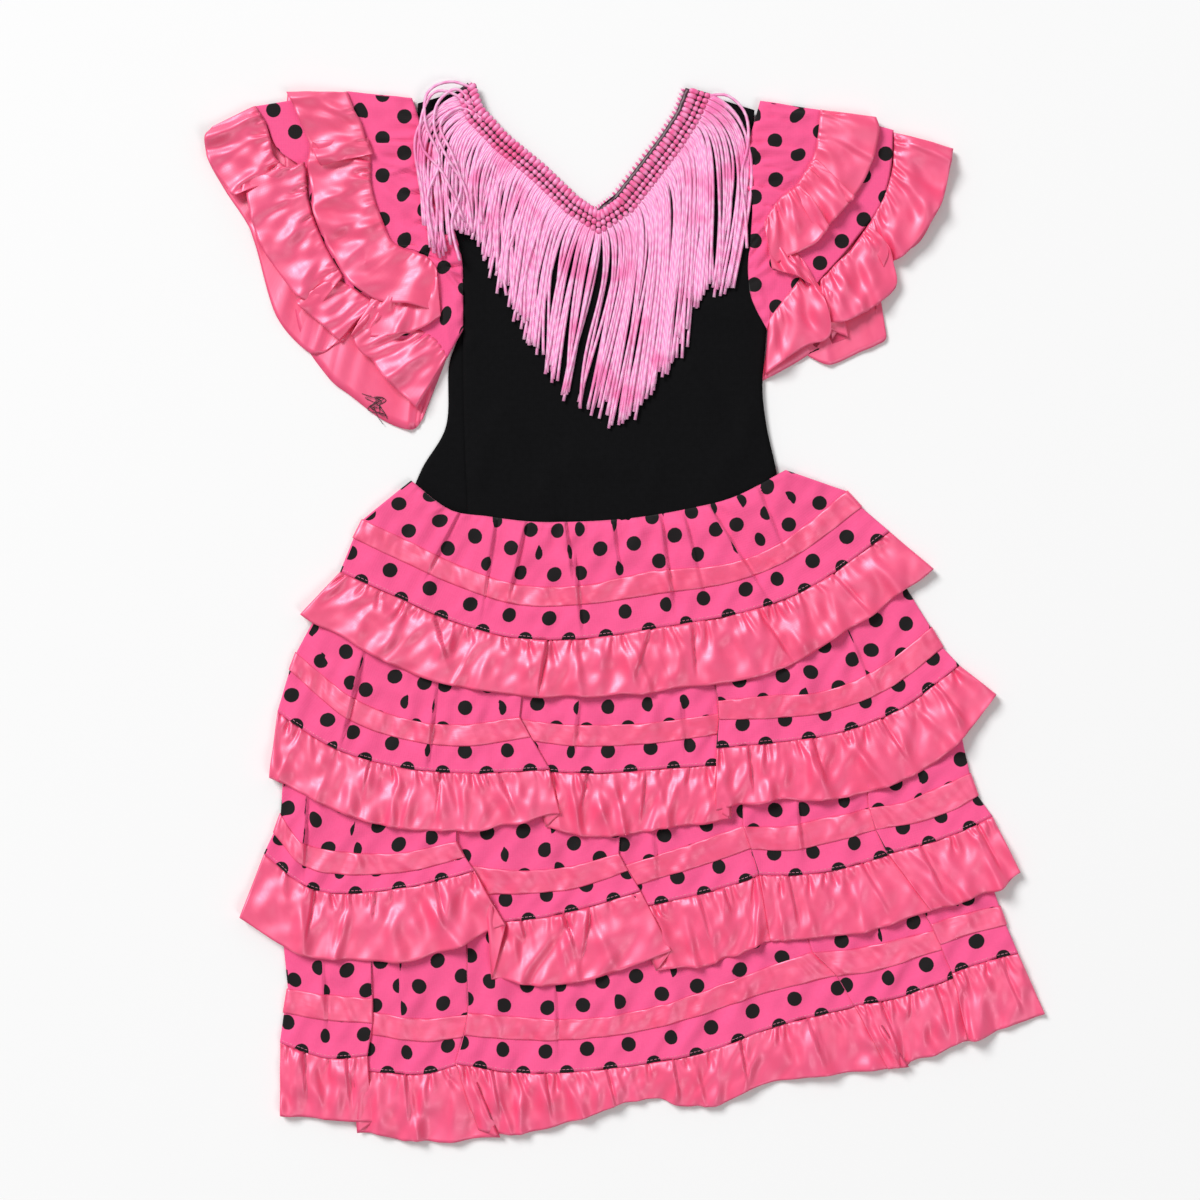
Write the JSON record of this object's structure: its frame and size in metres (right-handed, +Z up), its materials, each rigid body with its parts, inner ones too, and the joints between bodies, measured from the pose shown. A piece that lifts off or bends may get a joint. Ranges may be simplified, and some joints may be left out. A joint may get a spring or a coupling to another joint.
{
  "type": "flamenco dress",
  "caption": "Child's flamenco dress laid flat, front up: black V-neck bodice with pink fringe, puff sleeves and a tiered polka-dot skirt with satin ribbons and frills.",
  "frame": {"origin": "middle of the dress's box in plan, on the surface it lies on", "axes": "+Y from the hem to the neck, +X to the right seen from above, +Z up from the surface"},
  "size_m": [0.6256, 0.7932, 0.011],
  "materials": {
    "polka_dot_cloth": "matte woven cloth printed with near-black dots",
    "satin_frill": "glossy satin",
    "satin_ribbon": "glossy satin ribbon",
    "black_jersey": "matte knitted jersey",
    "twisted_fringe": "silky twisted cord"
  },
  "bodies": {
    "root": {"bodice_front": "black_jersey", "bodice_back": "black_jersey", "fringe_front": "twisted_fringe", "fringe_back": "twisted_fringe", "skirt_tier_1": "polka_dot_cloth", "ribbon_1": "satin_ribbon", "ruffle_1": "satin_frill", "skirt_tier_2": "polka_dot_cloth", "ribbon_2": "satin_ribbon", "ruffle_2": "satin_frill", "skirt_tier_3": "polka_dot_cloth", "ribbon_3": "satin_ribbon", "ruffle_3": "satin_frill", "skirt_tier_4": "polka_dot_cloth", "ribbon_4": "satin_ribbon", "ruffle_4": "satin_frill", "sleeve_left": "polka_dot_cloth", "sleeve_left_ruffle_inner": "satin_frill", "sleeve_left_ruffle_outer": "satin_frill", "sleeve_right": "polka_dot_cloth", "sleeve_right_ruffle_inner": "satin_frill", "sleeve_right_ruffle_outer": "satin_frill"}
  },
  "joints": []
}
